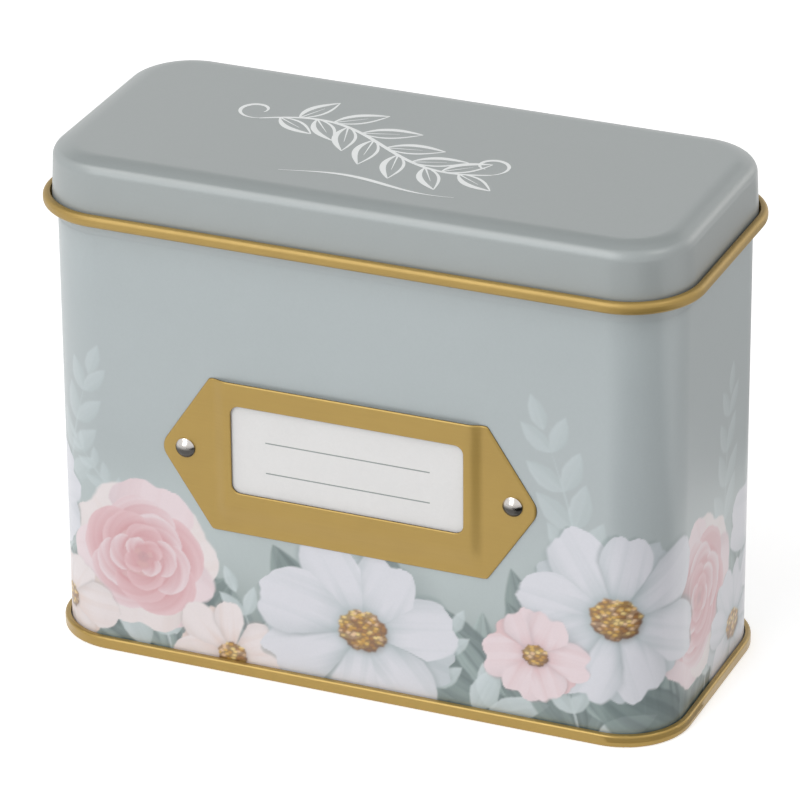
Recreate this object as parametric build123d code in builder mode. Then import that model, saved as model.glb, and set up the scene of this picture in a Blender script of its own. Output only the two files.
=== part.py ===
from build123d import *
import os
from math import asin, atan2, cos, degrees, radians, sin, sqrt, tan

# A hinged tinplate box for cards. Millimetres, +Z up, the front faces -Y,
# and the origin is on the resting plane under the middle of the box.
# A section of the sheet is drawn as (outset, height): the outset is measured
# outwards from the outer face of the body wall.

# Body
body_width = 144.0
body_depth = 63.5
corner_radius = 13.7
sheet = 0.3
headroom = 2.75
top_curl_radius = 0.7
flange_height = 1.15
flange_reach = 1.15
seam_width = 5.0
seam_thickness = 0.6
seam_groove = 0.12
seam_foot = 3.6

# Base
band_reach = 1.57
band_height = 2.8
hook_gap = 0.35
base_clearance = 0.1
panel_recess = 2.0
panel_step = 0.8
panel_border = 8.0

# Lid
lid_height = 116.5
lid_depth = 12.9
lid_gap = 0.88
lid_draft = 0.6
knee_drop = 1.65
knee_radius = 2.6
ramp_run = 3.6
ramp_radius = 8.0
lid_flange = 7.0

# Hinge
wire_radius = 0.8
wire_length = 112.0
running_gap = 0.05
curl_stretch = 0.5
curl_return_angle = 115.0
tongue_width = 8.0
tongue_spacing = 80.0
tongue_root_drop = 3.6
tongue_wrap = 290.0
tongue_side_gap = 0.3
notch_rise = 1.7

# Label holder
holder_plate = 0.5
pocket_depth = 0.8
slope_run = 1.7
holder_centre_height = 52.4
holder_height = 36.2
holder_straight = 64.0
holder_tip_length = 12.0
holder_tip_radius = 4.0
holder_shoulder_radius = 0.8
raised_margin = 0.8
bottom_flange = 3.7
window_side_border = 4.35
window_top_border = 5.35
window_foot_border = 6.45
window_radius = 2.0
edge_round = 0.18

# Label card and rivets
label_side_gap = 0.35
label_top_gap = 0.55
label_thickness = 0.35
label_back_gap = 0.2
label_foot_gap = 0.25
rivet_tip_inset = 6.1
rivet_rise = 0.5
rivet_head_radius = 2.25
rivet_dome = 1.15
rivet_edge = 0.25
rivet_shank_radius = 1.2
rivet_bore_radius = 0.75
rivet_hole_gap = 0.05
rivet_tail_radius = 1.9
rivet_tail_thickness = 0.5

# Cards and dividers
card_side_gap = 5.7
tab_headroom = 7.6
card_thickness = 0.4
card_pitch = 0.52
divider_radius = 4.0
cards_per_group = 6
group_count = 6
divider_thickness = 0.55
divider_pitch = 0.7
tab_width = 19.0
tab_height = 9.5
tab_radius = 3.0
card_lean = 4.0
card_foot_gap = 0.2
card_back_gap = 0.4

half_width = body_width / 2
half_depth = body_depth / 2
mid_sheet = sheet / 2
wall_top = lid_height - headroom
hinge_height = lid_height - lid_depth
front_face = Plane.XZ.offset(half_depth)
holder_tip_reach = holder_straight / 2 + holder_tip_length
rivet_spacing = 2 * (holder_tip_reach - rivet_tip_inset)
rivet_height = holder_centre_height + rivet_rise
hinge_sides = (-tongue_spacing / 2, tongue_spacing / 2)

# The curl of the lid and the loops of the tongues go round the same wire.
curl_mid_radius = wire_radius + running_gap + mid_sheet
hinge_outset = lid_gap + mid_sheet + curl_mid_radius


def wall_path():
    """The outer face of the body wall as a closed line, from the middle of the right side."""
    straight_x = half_width - corner_radius
    straight_y = half_depth - corner_radius
    with BuildLine() as path:
        Line((half_width, 0), (half_width, straight_y))
        CenterArc((straight_x, straight_y), corner_radius, 0, 90)
        Line((straight_x, half_depth), (-straight_x, half_depth))
        CenterArc((-straight_x, straight_y), corner_radius, 90, 90)
        Line((-half_width, straight_y), (-half_width, -straight_y))
        CenterArc((-straight_x, -straight_y), corner_radius, 180, 90)
        Line((-straight_x, -half_depth), (straight_x, -half_depth))
        CenterArc((straight_x, -straight_y), corner_radius, 270, 90)
        Line((half_width, -straight_y), (half_width, 0))
    return path.wires()[0]


def at_side(outset, height):
    """A point of a sheet section at the right side of the box."""
    return (half_width + outset, height)


def at_back(outset, height):
    """A point of a sheet section at the back of the box."""
    return (half_depth + outset, height)


# Body wall: one strip of sheet with a flange at its foot and a curl inwards at its top
with BuildPart() as body_wall:
    curl_mid = top_curl_radius - mid_sheet
    with BuildSketch(Plane.XZ) as wall_section:
        with BuildLine():
            Polyline(
                at_side(flange_reach, flange_height),
                at_side(-mid_sheet, flange_height),
                at_side(-mid_sheet, wall_top),
            )
            CenterArc(at_side(-mid_sheet - curl_mid, wall_top), curl_mid, 0, 250)
        trace(line_width=sheet)
    sweep(path=wall_path())

    # Lock seam down the middle of the back, folded to the inside
    seam_length = wall_top - top_curl_radius - sheet - seam_foot
    with BuildSketch(Plane.XY.offset(seam_foot)):
        with Locations((0, half_depth - sheet - seam_thickness / 2)):
            Rectangle(seam_width, seam_thickness)
    extrude(amount=seam_length)
    with BuildSketch(Plane.XY.offset(seam_foot)):
        with Locations((seam_width / 2, half_depth)):
            Rectangle(2 * seam_groove, 2 * seam_groove)
    extrude(amount=seam_length, mode=Mode.SUBTRACT)

    # Windows in the back wall that the two hinge tongues are lanced from
    root_height = hinge_height - tongue_root_drop
    root_to_wire = sqrt((hinge_outset + mid_sheet) ** 2 + tongue_root_drop**2)
    leaf_angle = degrees(
        atan2(tongue_root_drop, hinge_outset + mid_sheet) - asin(curl_mid_radius / root_to_wire)
    )
    leaf_length = sqrt(root_to_wire**2 - curl_mid_radius**2)
    tongue_length = leaf_length + radians(tongue_wrap) * curl_mid_radius
    with BuildSketch(Plane.XZ.offset(-half_depth - sheet)):
        with Locations((0, root_height + tongue_length / 2)):
            with GridLocations(tongue_spacing, 0, 2, 1):
                Rectangle(tongue_width + 2 * tongue_side_gap, tongue_length)
    extrude(amount=3 * sheet, mode=Mode.SUBTRACT)

    # Tongues rolled round the hinge wire
    leaf_end = (
        -mid_sheet + leaf_length * cos(radians(leaf_angle)),
        root_height + leaf_length * sin(radians(leaf_angle)),
    )
    for side in hinge_sides:
        with BuildSketch(Plane.YZ.offset(side)):
            with BuildLine():
                FilletPolyline(
                    at_back(-mid_sheet, root_height - tongue_width / 4),
                    at_back(-mid_sheet, root_height),
                    at_back(*leaf_end),
                    radius=2 * sheet,
                )
                JernArc(
                    at_back(*leaf_end),
                    (cos(radians(leaf_angle)), sin(radians(leaf_angle))),
                    curl_mid_radius,
                    tongue_wrap,
                )
            trace(line_width=sheet)
        extrude(amount=tongue_width / 2, both=True)

    # Holes for the two rivets of the label holder
    with BuildSketch(front_face.offset(sheet)):
        with Locations((0, rivet_height)):
            with GridLocations(rivet_spacing, 0, 2, 1):
                Circle(rivet_shank_radius + rivet_hole_gap)
    extrude(amount=-3 * sheet, mode=Mode.SUBTRACT)

# Base: a stepped panel whose edge is hooked over the flange of the body wall
with BuildPart() as base_plate:
    band_mid = band_reach - mid_sheet
    chuck_mid = -sheet - base_clearance - mid_sheet
    panel_mid = panel_recess + mid_sheet
    hook_mid = hook_gap + mid_sheet
    hook_foot = flange_height + mid_sheet + base_clearance
    border_end = chuck_mid - panel_border
    band_bend = (band_mid - hook_mid) * 0.45
    with BuildSketch(Plane.XZ) as base_section:
        with BuildLine():
            FilletPolyline(
                at_side(hook_mid, hook_foot),
                at_side(hook_mid, band_height - mid_sheet),
                at_side(band_mid, band_height - mid_sheet),
                at_side(band_mid, mid_sheet),
                at_side(chuck_mid, mid_sheet),
                at_side(chuck_mid, panel_mid),
                at_side(border_end, panel_mid),
                at_side(border_end - panel_step, panel_mid + panel_step),
                at_side(border_end - 3 * panel_step, panel_mid + panel_step),
                radius=[0, band_bend, band_bend, 0, 0, 0, 0],
            )
        trace(line_width=sheet)
    sweep(path=wall_path())
    inner_edge = border_end - 3 * panel_step
    with BuildSketch(Plane.XY.offset(panel_recess + panel_step)):
        RectangleRounded(
            body_width + 2 * inner_edge,
            body_depth + 2 * inner_edge,
            corner_radius + inner_edge,
        )
    extrude(amount=sheet)

# Lid: a drawn cap with a crowned edge and a curl outwards at its rim
with BuildPart() as lid:
    lid_lean = degrees(atan2(lid_draft, lid_height - hinge_height))
    half_stretch = curl_stretch / 2
    arc_sweep = 180 - lid_lean
    skirt_foot = (
        hinge_outset - curl_mid_radius * cos(radians(lid_lean)),
        hinge_height - half_stretch - curl_mid_radius * sin(radians(lid_lean)),
    )
    top_mid = lid_height - mid_sheet
    knee_height = top_mid - knee_drop
    knee_outset = skirt_foot[0] - (knee_height - skirt_foot[1]) * tan(radians(lid_lean))
    ramp_end = knee_outset - ramp_run
    with BuildSketch(Plane.XZ) as lid_section:
        with BuildLine():
            CenterArc(
                at_side(hinge_outset, hinge_height + half_stretch),
                curl_mid_radius,
                0,
                curl_return_angle,
            )
            Line(
                at_side(hinge_outset + curl_mid_radius, hinge_height + half_stretch),
                at_side(hinge_outset + curl_mid_radius, hinge_height - half_stretch),
            )
            CenterArc(
                at_side(hinge_outset, hinge_height - half_stretch),
                curl_mid_radius,
                0,
                -arc_sweep,
            )
            FilletPolyline(
                at_side(*skirt_foot),
                at_side(knee_outset, knee_height),
                at_side(ramp_end, top_mid),
                at_side(ramp_end - lid_flange + ramp_run, top_mid),
                radius=[knee_radius, ramp_radius],
            )
        trace(line_width=sheet)
    sweep(path=wall_path())
    plate_edge = ramp_end - lid_flange + ramp_run
    with BuildSketch(Plane.XY.offset(lid_height - sheet)):
        RectangleRounded(
            body_width + 2 * plate_edge,
            body_depth + 2 * plate_edge,
            corner_radius + plate_edge,
        )
    extrude(amount=sheet)

    # Notches in the back of the rim that leave the wire bare for the tongues
    notch_width = tongue_width + 4 * tongue_side_gap
    notch_floor = hinge_height - 2 * curl_mid_radius
    with BuildSketch(Plane.XY.offset(notch_floor)):
        with Locations((0, half_depth + 2 * hinge_outset)):
            with GridLocations(tongue_spacing, 0, 2, 1):
                Rectangle(notch_width, 4 * hinge_outset)
    extrude(amount=hinge_height + notch_rise - notch_floor, mode=Mode.SUBTRACT)

# Hinge wire, held in the back curl of the lid
with BuildPart() as hinge_wire:
    with BuildSketch(Plane.YZ):
        with Locations(at_back(hinge_outset, hinge_height)):
            Circle(wire_radius)
    extrude(amount=wire_length / 2, both=True)
    chamfer(hinge_wire.edges().filter_by(GeomType.CIRCLE), wire_radius / 4)

# Label holder: a pressed plate with a raised middle that is open at the top
with BuildPart() as label_holder:
    holder_bottom = holder_centre_height - holder_height / 2
    holder_top = holder_bottom + holder_height
    run_per_rise = slope_run / pocket_depth
    slope_shift = sqrt(pocket_depth**2 + slope_run**2) / pocket_depth * holder_plate
    raised_foot = holder_bottom + bottom_flange
    raised_width = holder_straight - 2 * raised_margin
    plate_run = holder_plate * run_per_rise

    def raised_rectangle(side_inset, above_top):
        """The outline of the raised middle, inset at its sides and foot."""
        foot = raised_foot + side_inset
        top = holder_top + above_top
        with Locations((0, (foot + top) / 2)):
            Rectangle(raised_width - 2 * side_inset, top - foot)

    with BuildSketch(front_face):
        with BuildLine():
            FilletPolyline(
                (-holder_straight / 2, holder_top),
                (holder_straight / 2, holder_top),
                (holder_tip_reach, holder_centre_height),
                (holder_straight / 2, holder_bottom),
                (-holder_straight / 2, holder_bottom),
                (-holder_tip_reach, holder_centre_height),
                radius=[
                    holder_shoulder_radius,
                    holder_shoulder_radius,
                    holder_tip_radius,
                    holder_shoulder_radius,
                    holder_shoulder_radius,
                    holder_tip_radius,
                ],
                close=True,
            )
        make_face()
    extrude(amount=holder_plate)
    with BuildSketch(front_face.offset(holder_plate / 2)):
        raised_rectangle(-plate_run / 2, 0)
    with BuildSketch(front_face.offset(holder_plate + pocket_depth)):
        raised_rectangle(slope_run, 0)
    loft(ruled=True)

    # The pocket behind the raised middle
    pocket_base = slope_shift - plate_run
    with BuildSketch(front_face):
        raised_rectangle(pocket_base, holder_plate)
    with BuildSketch(front_face.offset(pocket_depth)):
        raised_rectangle(pocket_base + slope_run, holder_plate)
    loft(ruled=True, mode=Mode.SUBTRACT)

    # The window and the rivet holes
    window_width = raised_width - 2 * window_side_border
    window_foot = raised_foot + window_foot_border
    window_height = holder_top - window_top_border - window_foot
    with BuildSketch(front_face):
        with Locations((0, window_foot + window_height / 2)):
            RectangleRounded(window_width, window_height, window_radius)
        with Locations((0, rivet_height)):
            with GridLocations(rivet_spacing, 0, 2, 1):
                Circle(rivet_shank_radius + rivet_hole_gap)
    extrude(amount=2 * (holder_plate + pocket_depth), mode=Mode.SUBTRACT)

    # The window's pressed edge
    raised_face = label_holder.faces().sort_by(Axis.Y)[0]
    chamfer(raised_face.inner_wires().edges(), edge_round)

# Label card in the pocket
with BuildPart() as label_card:
    pocket_inset = pocket_base + (label_back_gap + label_thickness) * run_per_rise
    label_width = raised_width - 2 * (pocket_inset + label_side_gap)
    label_foot = raised_foot + pocket_inset + label_foot_gap
    label_height = holder_top - label_top_gap - label_foot
    with BuildSketch(front_face.offset(label_back_gap)):
        with Locations((0, label_foot + label_height / 2)):
            Rectangle(label_width, label_height)
    extrude(amount=label_thickness)


def make_rivet(side):
    """A domed tubular rivet through the holder and the wall, with its tail rolled outwards."""
    seat = Plane(origin=(side, -half_depth, rivet_height), x_dir=(1, 0, 0), z_dir=(0, 0, 1))
    head_seat = -holder_plate - rivet_hole_gap
    tail_seat = sheet + rivet_hole_gap
    tail_end = tail_seat + rivet_tail_thickness
    with BuildPart() as rivet:
        with BuildSketch(seat):
            with BuildLine():
                Polyline(
                    (0, head_seat - rivet_edge - rivet_dome),
                    (0, head_seat + rivet_edge),
                    (rivet_bore_radius, head_seat + rivet_edge),
                    (rivet_bore_radius, tail_end),
                    (rivet_tail_radius - rivet_edge, tail_end),
                    (rivet_tail_radius, tail_end - rivet_edge),
                    (rivet_tail_radius, tail_seat),
                    (rivet_shank_radius, tail_seat),
                    (rivet_shank_radius, head_seat),
                    (rivet_head_radius, head_seat),
                    (rivet_head_radius, head_seat - rivet_edge),
                )
                RadiusArc(
                    (rivet_head_radius, head_seat - rivet_edge),
                    (0, head_seat - rivet_edge - rivet_dome),
                    (rivet_head_radius**2 + rivet_dome**2) / (2 * rivet_dome),
                )
            make_face()
        revolve(axis=Axis((side, -half_depth, rivet_height), (0, 1, 0)))
    return rivet.part


rivet_left = make_rivet(-rivet_spacing / 2)
rivet_right = make_rivet(rivet_spacing / 2)

# Cards and tabbed dividers, which lean against the back wall
card_foot = panel_recess + panel_step + sheet + card_foot_gap
group_depth = divider_pitch + cards_per_group * card_pitch
lean = radians(card_lean)
card_width = body_width - 2 * (sheet + card_side_gap)
card_height = (lid_height - sheet - tab_headroom - card_foot) / cos(lean) - tab_height
corner_room = (
    half_depth
    - corner_radius
    + sqrt((corner_radius - sheet) ** 2 - (card_width / 2 - half_width + corner_radius) ** 2)
)
back_room = min(half_depth - sheet - seam_thickness, corner_room) - card_back_gap
last_foot = back_room - (card_height + card_foot_gap) * sin(lean)


def card_plane(foot_y):
    """The back face of a card that stands at that depth, with its foot as the origin."""
    return Plane(origin=(0, foot_y, card_foot), x_dir=(1, 0, 0), z_dir=(0, -cos(lean), sin(lean)))


def make_card_group(group):
    """The loose cards behind one divider, as separate solids."""
    back = last_foot - group * group_depth
    with BuildPart() as cards:
        for card in range(cards_per_group):
            with BuildSketch(card_plane(back - card * card_pitch)):
                with Locations((0, card_height / 2)):
                    Rectangle(card_width, card_height)
            extrude(amount=card_thickness)
    return cards.part


def make_divider(group):
    """A divider in front of its group of cards, with its tab in that group's place."""
    foot_y = last_foot - group * group_depth - cards_per_group * card_pitch
    tab_room = card_width - 2 * divider_radius - tab_width
    tab_x = tab_room * (group / max(group_count - 1, 1) - 0.5)
    with BuildPart() as divider:
        with BuildSketch(card_plane(foot_y)):
            with Locations((0, card_height / 2)):
                RectangleRounded(card_width, card_height, divider_radius)
            with Locations((tab_x, card_height - tab_radius + (tab_height + tab_radius) / 2)):
                RectangleRounded(tab_width, tab_height + tab_radius, tab_radius)
        extrude(amount=divider_thickness)
    return divider.part


pieces = {
    "body_wall": body_wall.part,
    "base_plate": base_plate.part,
    "lid": lid.part,
    "hinge_wire": hinge_wire.part,
    "label_holder": label_holder.part,
    "label_card": label_card.part,
    "rivet_left": rivet_left,
    "rivet_right": rivet_right,
}
for group in range(group_count):
    pieces[f"card_group_{group + 1}"] = make_card_group(group)
    pieces[f"divider_{group + 1}"] = make_divider(group)

os.makedirs("parts", exist_ok=True)
for name, piece in pieces.items():
    piece.label = name
    export_step(piece, f"parts/{name}.step")
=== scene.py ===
import math

import bpy
import numpy as np
from bpy.props import FloatProperty, FloatVectorProperty, PointerProperty
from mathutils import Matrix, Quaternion, Vector


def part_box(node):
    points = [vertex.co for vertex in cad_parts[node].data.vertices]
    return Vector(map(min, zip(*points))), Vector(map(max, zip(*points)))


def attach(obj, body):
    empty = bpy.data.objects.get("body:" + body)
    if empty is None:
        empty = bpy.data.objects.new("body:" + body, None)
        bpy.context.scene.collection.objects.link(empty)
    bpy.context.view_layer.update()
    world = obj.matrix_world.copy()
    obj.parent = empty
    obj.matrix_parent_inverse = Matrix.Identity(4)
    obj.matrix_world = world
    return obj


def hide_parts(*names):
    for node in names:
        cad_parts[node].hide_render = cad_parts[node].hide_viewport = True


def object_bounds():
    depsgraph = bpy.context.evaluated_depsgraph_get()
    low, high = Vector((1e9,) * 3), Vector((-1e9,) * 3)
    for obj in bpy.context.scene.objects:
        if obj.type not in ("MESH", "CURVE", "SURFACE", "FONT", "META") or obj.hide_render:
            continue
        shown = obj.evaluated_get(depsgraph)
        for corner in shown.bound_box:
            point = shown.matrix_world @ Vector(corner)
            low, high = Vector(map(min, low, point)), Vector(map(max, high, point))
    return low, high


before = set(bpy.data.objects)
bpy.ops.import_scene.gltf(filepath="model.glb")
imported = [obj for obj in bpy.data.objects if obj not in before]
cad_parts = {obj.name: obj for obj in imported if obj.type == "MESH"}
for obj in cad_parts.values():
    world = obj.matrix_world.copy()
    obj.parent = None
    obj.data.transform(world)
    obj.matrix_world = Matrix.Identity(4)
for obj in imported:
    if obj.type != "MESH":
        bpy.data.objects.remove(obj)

bl_info = {
    "name": "Card Tin",
    "version": (1, 0, 0),
    "blender": (4, 5, 0),
    "location": "View3D > Sidebar > Card Tin",
    "description": "Dresses a hinged tinplate card box with its print, lacquer, gold trim and cards",
    "category": "Object",
}

MM = 0.001
CAD_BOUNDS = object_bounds()
CAD_TOP = CAD_BOUNDS[1][2] / MM
GOLDEN_ANGLE = 2.39996
AIM = Vector((0, 0, 0.06))
FLOOR_ZONE = 0.01
INK_RELIEF = 0.00001


# Sizes and colours


def length(name, description, default):
    """A length property in metres."""
    return FloatProperty(
        name=name, description=description, default=default, unit="LENGTH", precision=5
    )


def colour(name, description, default):
    """A colour property, written as 8-bit screen values and kept as scene-linear ones."""
    linear = tuple(float(v) for v in screen_to_linear(default))
    return FloatVectorProperty(
        name=name, description=description, default=linear, subtype="COLOR", size=3, min=0.0, max=1.0
    )


def screen_to_linear(rgb):
    """The sRGB curve undone: a power of 2.4 above a short straight foot."""
    value = np.asarray(rgb, dtype=float) / 255.0
    return np.where(value <= 0.04045, value / 12.92, ((value + 0.055) / 1.055) ** 2.4)


class CardTinSizes(bpy.types.PropertyGroup):
    """Sizes of the dressed pieces. They repeat the solids' own sizes."""

    body_width: length("Body width", "Width over the outer faces of the wall", 0.144)
    body_depth: length("Body depth", "Depth over the outer faces of the wall", 0.0635)
    corner_radius: length("Corner radius", "Radius of the wall's outer face at a corner", 0.0137)
    sheet: length("Sheet", "Thickness of the tinplate", 0.0003)
    print_foot: length("Print foot", "Height at which the print begins", 0.0021)
    print_top: length("Print top", "Height at which the print sheet ends, below the tongues", 0.0995)
    dense_top: length("Dense top", "Height up to which the print is finely divided", 0.084)
    print_step: length("Print step", "Spacing of the print's points at the front", 0.00038)
    ink_room: length("Ink room", "Height kept free on the lid for its line art", 0.00004)
    print_lift: length("Print lift", "Distance of the print from the wall", 0.00002)
    hinge_height: length("Hinge height", "Height of the wire and of the lid's curl", 0.1036)
    lid_gap: length("Lid gap", "Gap between the lid's skirt and the wall", 0.00088)
    lid_draft: length("Lid draft", "How far the skirt leans in on its way up", 0.0006)
    curl_radius: length("Curl radius", "Radius of the curl to the middle of the sheet", 0.001)
    curl_stretch: length("Curl stretch", "Straight part between the curl's two halves", 0.0005)
    knee_drop: length("Knee drop", "Height of the crowned edge", 0.00165)
    knee_radius: length("Knee radius", "Radius at the outside of the crowned edge", 0.0026)
    ramp_run: length("Ramp run", "Width of the crowned edge", 0.0036)
    ramp_radius: length("Ramp radius", "Radius at the inside of the crowned edge", 0.008)
    notch_width: length("Notch width", "Width of a hinge notch", 0.0092)
    notch_rise: length("Notch rise", "Height of a notch above the wire", 0.0017)
    tongue_spacing: length("Tongue spacing", "Distance between the two tongues", 0.08)
    holder_plate: length("Holder plate", "Thickness of the label holder", 0.0005)
    pocket_depth: length("Pocket depth", "Depth of the label pocket", 0.0008)
    holder_straight: length("Holder straight", "Length of the holder's straight edges", 0.064)
    holder_reach: length("Holder reach", "Half length to the corner of a tip", 0.044)
    holder_bottom: length("Holder bottom", "Height of the holder's foot", 0.0343)
    holder_height: length("Holder height", "Height of the holder", 0.0362)
    raised_width: length("Raised width", "Width of the holder's raised middle", 0.0624)
    bottom_flange: length("Bottom flange", "Height of the flat foot of the holder", 0.0037)
    window_width: length("Window width", "Width of the window", 0.0537)
    window_height: length("Window height", "Height of the window", 0.0207)
    window_centre: length("Window centre", "Height of the window's centre", 0.0548)
    window_radius: length("Window radius", "Radius of the window's corners", 0.002)
    rivet_height: length("Rivet height", "Height of the rivets", 0.0529)
    rivet_radius: length("Rivet radius", "Radius of a rivet's head", 0.00225)


class CardTinColours(bpy.types.PropertyGroup):
    """Colours of the finishes."""

    wall: colour("Wall", "Ground colour of the print", (179, 187, 189))
    wall_low: colour("Wall low", "Ground colour near the foot", (164, 176, 174))
    lid: colour("Lid", "Colour of the lid", (160, 166, 166))
    gold: colour("Gold", "Gold lacquer", (171, 141, 72))
    gold_dark: colour("Dark gold", "Gold lacquer where it is worn or thick", (140, 112, 58))
    nickel: colour("Nickel", "Plating of the rivets", (212, 207, 202))
    steel: colour("Steel", "Drawn wire", (178, 178, 174))
    paper: colour("Paper", "Label and cards", (237, 235, 234))
    board: colour("Board", "Tabbed dividers", (196, 206, 204))
    art: colour("Line art", "White ink on the lid", (246, 248, 248))
    rule: colour("Rule", "Ruled lines on the label", (150, 156, 154))


def sizes():
    """The sizes in millimetres, by name."""
    group = bpy.context.scene.card_tin_sizes
    return {name: getattr(group, name) / MM for name in group.__annotations__}


def colours():
    """The colours as scene-linear arrays, by name."""
    group = bpy.context.scene.card_tin_colours
    return {name: np.array(getattr(group, name)) for name in group.__annotations__}


# Surfaces


class WallTrack:
    """The outer face of the wall as a closed track round the box.

    The distance s runs from the middle of the front to the right. The centre of curvature and the
    direction of the outward normal are straight-line functions of s between the ends of the flats
    and of the corners, so a point is the centre plus the radius and the outset along the normal.
    """

    def __init__(self, size):
        self.radius = size["corner_radius"]
        self.flat_x = size["body_width"] / 2 - self.radius
        self.flat_y = size["body_depth"] / 2 - self.radius
        self.arc = self.radius * math.pi / 2
        steps = [0, self.flat_x, self.arc, 2 * self.flat_y, self.arc]
        steps += [2 * self.flat_x, self.arc, 2 * self.flat_y, self.arc, self.flat_x]
        self.knots = np.cumsum(steps)
        self.length = self.knots[-1]
        self.turns = np.array([-1, -1, 0, 0, 1, 1, 2, 2, 3, 3]) * (math.pi / 2)
        self.centres_x = np.array([0, 1, 1, 1, 1, -1, -1, -1, -1, 0]) * self.flat_x
        self.centres_y = np.array([-1, -1, -1, 1, 1, 1, 1, -1, -1, -1]) * self.flat_y

    def at(self, s, z, outset):
        """Points at distance s, height z and outset from the wall, which broadcast together."""
        s, z, outset = np.broadcast_arrays(np.mod(s, self.length), z, outset)
        turn, reach = np.interp(s, self.knots, self.turns), self.radius + outset
        x = np.interp(s, self.knots, self.centres_x) + reach * np.cos(turn)
        y = np.interp(s, self.knots, self.centres_y) + reach * np.sin(turn)
        return np.stack([x, y, z], axis=-1)

    def stations(self, step):
        """Distances round the box: the flats are a few long steps, the corners are many short ones."""
        parts = []
        for start, end, turning in zip(self.knots[:-1], self.knots[1:], np.diff(self.turns)):
            spacing = step if turning else step * 8
            count = max(2, int(math.ceil((end - start) / spacing)))
            parts.append(np.linspace(start, end, count, endpoint=False))
        return np.concatenate(parts)


def rounded_line(points, radii, steps):
    """A polyline whose inner corners are arcs.

    Each arc touches its two runs at the radius times the tangent of half the turn from the corner,
    and its points are worked out from the centre of the arc.
    """
    points = np.asarray(points, dtype=float)
    line = [points[:1]]
    for before, corner, after, radius in zip(points[:-2], points[1:-1], points[2:], radii):
        way_in = (before - corner) / np.linalg.norm(before - corner)
        way_out = (after - corner) / np.linalg.norm(after - corner)
        half = math.acos(np.clip(way_in @ way_out, -1, 1)) / 2
        reach = radius / math.tan(half)
        bisector = way_in + way_out
        centre = corner + bisector / np.linalg.norm(bisector) * radius / math.sin(half)
        start = corner + way_in * reach - centre
        end = corner + way_out * reach - centre
        turn = math.atan2(start[0] * end[1] - start[1] * end[0], start @ end)
        angles = math.atan2(start[1], start[0]) + np.linspace(0, turn, steps + 1)
        line.append(centre + radius * np.stack([np.cos(angles), np.sin(angles)], axis=-1))
    line.append(points[-1:])
    return np.concatenate(line)


def arc_line(centre, radius, start, sweep, steps):
    """Points along an arc, with angles in degrees."""
    angles = np.radians(start + np.linspace(0, sweep, steps + 1))
    return np.asarray(centre) + radius * np.stack([np.cos(angles), np.sin(angles)], axis=-1)


def sheet_section(line, thickness):
    """A closed section of sheet: the line moved half a thickness to its right, and back on its left."""
    along = np.gradient(line, axis=0)
    along /= np.linalg.norm(along, axis=1)[:, None]
    across = np.stack([along[:, 1], -along[:, 0]], axis=-1) * thickness / 2
    return np.concatenate([line + across, (line - across)[::-1]])


def grid_faces(rows, columns, closed=False):
    """The quads between the points of a grid that is stored row by row, and may close both ways."""
    ends = (rows, columns) if closed else (rows - 1, columns - 1)
    row, column = np.meshgrid(*map(np.arange, ends), indexing="ij")
    next_row, next_column = (row + 1) % rows, (column + 1) % columns
    corners = [row * columns + column, next_row * columns + column]
    corners += [next_row * columns + next_column, row * columns + next_column]
    return np.stack(corners, axis=-1).reshape(-1, 4)


def brush_strokes(strokes):
    """Flat ribbons along plane lines: points left and right of each by half its width, and quads."""
    points, faces = [], []
    for line, width in strokes:
        along = np.gradient(line, axis=0)
        along /= np.linalg.norm(along, axis=1)[:, None]
        across = np.stack([-along[:, 1], along[:, 0]], axis=-1) * np.asarray(width)[:, None] / 2
        base = sum(len(part) for part in points) + 2 * np.arange(len(line) - 1)
        quads = np.stack([base, base + 2, base + 3, base + 1], axis=-1)
        edges = np.stack([line - across, line + across], axis=1)
        first, second = edges[1:, 1] - edges[:-1, 0], edges[:-1, 1] - edges[1:, 0]
        turned = first[:, 0] * second[:, 1] - first[:, 1] * second[:, 0] < 0
        quads[turned] = quads[turned, ::-1]
        faces.append(quads)
        points.append(edges.reshape(-1, 2))
    return np.concatenate(points), np.concatenate(faces)


def closed_outline(corners, radii, marks, count):
    """A rounded outline, cut at the points nearest to the marks, each stretch in equal steps."""
    corners = np.asarray(corners, dtype=float)
    line = rounded_line(np.concatenate([corners[-1:], corners, corners[:1]]), radii, 10)[1:-1]
    line = np.concatenate([line, line[:1]])
    reach = np.concatenate([[0], np.cumsum(np.linalg.norm(np.diff(line, axis=0), axis=1))])
    whole = reach[-1]

    def points_at(travel):
        return np.stack([np.interp(travel, reach, line[:, axis]) for axis in (0, 1)], axis=-1)

    fine = np.linspace(0, whole, 4000, endpoint=False)
    dense = points_at(fine)
    cuts = [fine[np.argmin(np.linalg.norm(dense - mark, axis=1))] for mark in np.asarray(marks, float)]
    stops = np.unwrap(np.array([*cuts, cuts[0]]) / whole * 2 * math.pi) / (2 * math.pi) * whole
    stretches = [np.linspace(a, b, count, endpoint=False) for a, b in zip(stops[:-1], stops[1:])]
    return points_at(np.mod(np.concatenate(stretches), whole))


def rounded_drop(distance, radius, depth):
    """How far a rounded edge has fallen at a distance from the rim: a quarter of an ellipse."""
    left = np.clip(1 - distance / radius, 0, 1)
    return depth * (1 - np.sqrt(1 - left**2))


def make_piece(name, points, faces, body, material):
    """Puts points in millimetres and faces into a new object that rides on a body."""
    mesh = bpy.data.meshes.new(name)
    points = np.asarray(points, dtype=float).reshape(-1, 3) * MM
    mesh.from_pydata(points.tolist(), [], [list(face) for face in faces])
    mesh.polygons.foreach_set("use_smooth", np.full(len(mesh.polygons), True))
    mesh.update()
    piece = bpy.data.objects.new(name, mesh)
    bpy.context.scene.collection.objects.link(piece)
    mesh.materials.append(material)
    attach(piece, body)
    return piece


def add_values(piece, name, values):
    """Stores one number per point."""
    attribute = piece.data.attributes.new(name, "FLOAT", "POINT")
    attribute.data.foreach_set("value", np.asarray(values, dtype=np.float32).ravel())


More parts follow.
